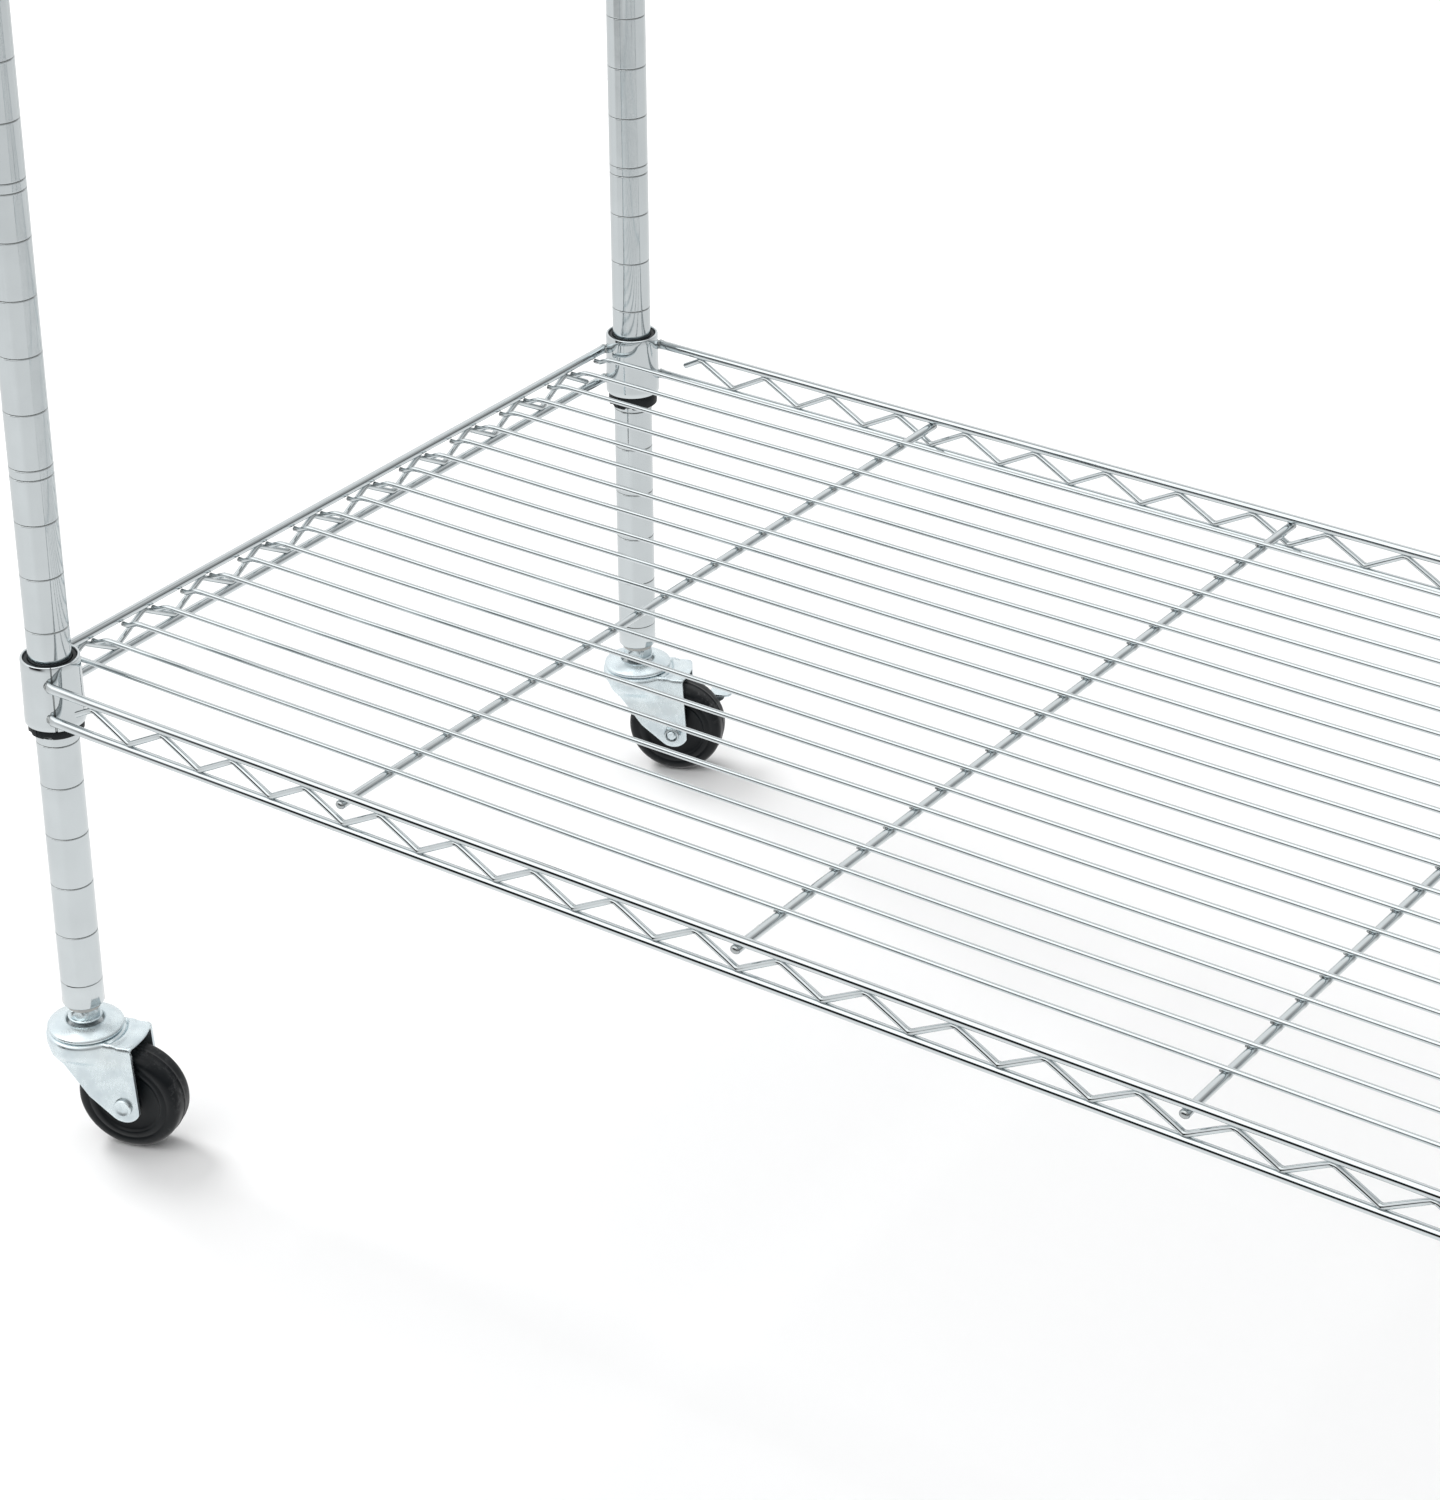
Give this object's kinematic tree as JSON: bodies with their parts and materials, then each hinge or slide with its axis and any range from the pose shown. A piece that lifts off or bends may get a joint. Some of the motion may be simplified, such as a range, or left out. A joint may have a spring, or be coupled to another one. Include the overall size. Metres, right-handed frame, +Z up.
{
  "type": "rolling clothes rack",
  "caption": "Rolling clothes rack: wire shelves on grooved chrome posts, a hanging rail under the upper shelf, and swivel casters, some with brake levers.",
  "frame": {"origin": "on the floor, under the middle of the rack", "axes": "+Z up, X along the long side, -Y towards the front"},
  "size_m": [1.1654, 0.4914, 1.8],
  "materials": {
    "chrome_tube": "bright chrome plate on steel tube",
    "chrome_wire": "bright chrome plate on welded steel wire",
    "zinc_steel": "bright zinc plate on stamped steel, slightly blue",
    "black_rubber": "hard black rubber, scuffed satin",
    "black_plastic": "moulded black plastic, satin",
    "grey_plastic": "moulded light grey plastic, satin"
  },
  "bodies": {
    "frame": {"post_fl": "chrome_tube", "cap_fl": "black_plastic", "insert_fl": "grey_plastic", "post_fr": "chrome_tube", "cap_fr": "black_plastic", "insert_fr": "grey_plastic", "post_bl": "chrome_tube", "cap_bl": "black_plastic", "insert_bl": "grey_plastic", "post_br": "chrome_tube", "cap_br": "black_plastic", "insert_br": "grey_plastic", "lower_front_truss": "chrome_wire", "lower_back_truss": "chrome_wire", "lower_left_end": "chrome_wire", "lower_right_end": "chrome_wire", "lower_deck": "chrome_wire", "sleeve_lower_fl_a": "black_plastic", "sleeve_lower_fl_b": "black_plastic", "sleeve_lower_fr_a": "black_plastic", "sleeve_lower_fr_b": "black_plastic", "sleeve_lower_bl_a": "black_plastic", "sleeve_lower_bl_b": "black_plastic", "sleeve_lower_br_a": "black_plastic", "sleeve_lower_br_b": "black_plastic", "upper_front_truss": "chrome_wire", "upper_back_truss": "chrome_wire", "upper_left_end": "chrome_wire", "upper_right_end": "chrome_wire", "upper_deck": "chrome_wire", "sleeve_upper_fl_a": "black_plastic", "sleeve_upper_fl_b": "black_plastic", "sleeve_upper_fr_a": "black_plastic", "sleeve_upper_fr_b": "black_plastic", "sleeve_upper_bl_a": "black_plastic", "sleeve_upper_bl_b": "black_plastic", "sleeve_upper_br_a": "black_plastic", "sleeve_upper_br_b": "black_plastic", "hanging_rail": "chrome_tube", "rail_hook_left": "chrome_tube", "rail_hook_right": "chrome_tube", "caster_fl_stem": "zinc_steel", "caster_fr_stem": "zinc_steel", "caster_bl_stem": "zinc_steel", "caster_br_stem": "zinc_steel"},
    "swivel_fl": {"caster_fl_fork": "zinc_steel", "caster_fl_axle": "zinc_steel"},
    "wheel_fl": {"caster_fl_wheel": "black_rubber"},
    "swivel_fr": {"caster_fr_fork": "zinc_steel", "caster_fr_axle": "zinc_steel"},
    "wheel_fr": {"caster_fr_wheel": "black_rubber"},
    "swivel_bl": {"caster_bl_fork": "zinc_steel", "caster_bl_axle": "zinc_steel"},
    "wheel_bl": {"caster_bl_wheel": "black_rubber"},
    "brake_bl": {"caster_bl_brake": "zinc_steel"},
    "swivel_br": {"caster_br_fork": "zinc_steel", "caster_br_axle": "zinc_steel"},
    "wheel_br": {"caster_br_wheel": "black_rubber"},
    "brake_br": {"caster_br_brake": "zinc_steel"}
  },
  "joints": [
    {"name": "swivel_fl_turn", "type": "hinge", "parent": "frame", "child": "swivel_fl", "pos_m": [-0.5645, -0.2115, 0.056], "axis": [0, 0, 1], "continuous": true},
    {"name": "wheel_fl_spin", "type": "hinge", "parent": "swivel_fl", "child": "wheel_fl", "pos_m": [-0.54459, -0.20484, 0.025], "axis": [-0.3173, 0.9483, 0], "continuous": true},
    {"name": "swivel_fr_turn", "type": "hinge", "parent": "frame", "child": "swivel_fr", "pos_m": [0.5645, -0.2115, 0.056], "axis": [0, 0, 1], "continuous": true},
    {"name": "wheel_fr_spin", "type": "hinge", "parent": "swivel_fr", "child": "wheel_fr", "pos_m": [0.54813, -0.22466, 0.025], "axis": [0.6266, -0.7793, 0], "continuous": true},
    {"name": "swivel_bl_turn", "type": "hinge", "parent": "frame", "child": "swivel_bl", "pos_m": [-0.5645, 0.2115, 0.056], "axis": [0, 0, 1], "continuous": true},
    {"name": "wheel_bl_spin", "type": "hinge", "parent": "swivel_bl", "child": "wheel_bl", "pos_m": [-0.54524, 0.21987, 0.025], "axis": [-0.3987, 0.9171, 0], "continuous": true},
    {"name": "brake_bl_press", "type": "hinge", "parent": "swivel_bl", "child": "brake_bl", "pos_m": [-0.55066, 0.23235, 0.025], "axis": [-0.3987, 0.9171, 0], "range_deg": [0, 12]},
    {"name": "swivel_br_turn", "type": "hinge", "parent": "frame", "child": "swivel_br", "pos_m": [0.5645, 0.2115, 0.056], "axis": [0, 0, 1], "continuous": true},
    {"name": "wheel_br_spin", "type": "hinge", "parent": "swivel_br", "child": "wheel_br", "pos_m": [0.54459, 0.21816, 0.025], "axis": [-0.3173, -0.9483, 0], "continuous": true},
    {"name": "brake_br_press", "type": "hinge", "parent": "swivel_br", "child": "brake_br", "pos_m": [0.54027, 0.20527, 0.025], "axis": [-0.3173, -0.9483, 0], "range_deg": [0, 12]}
  ]
}
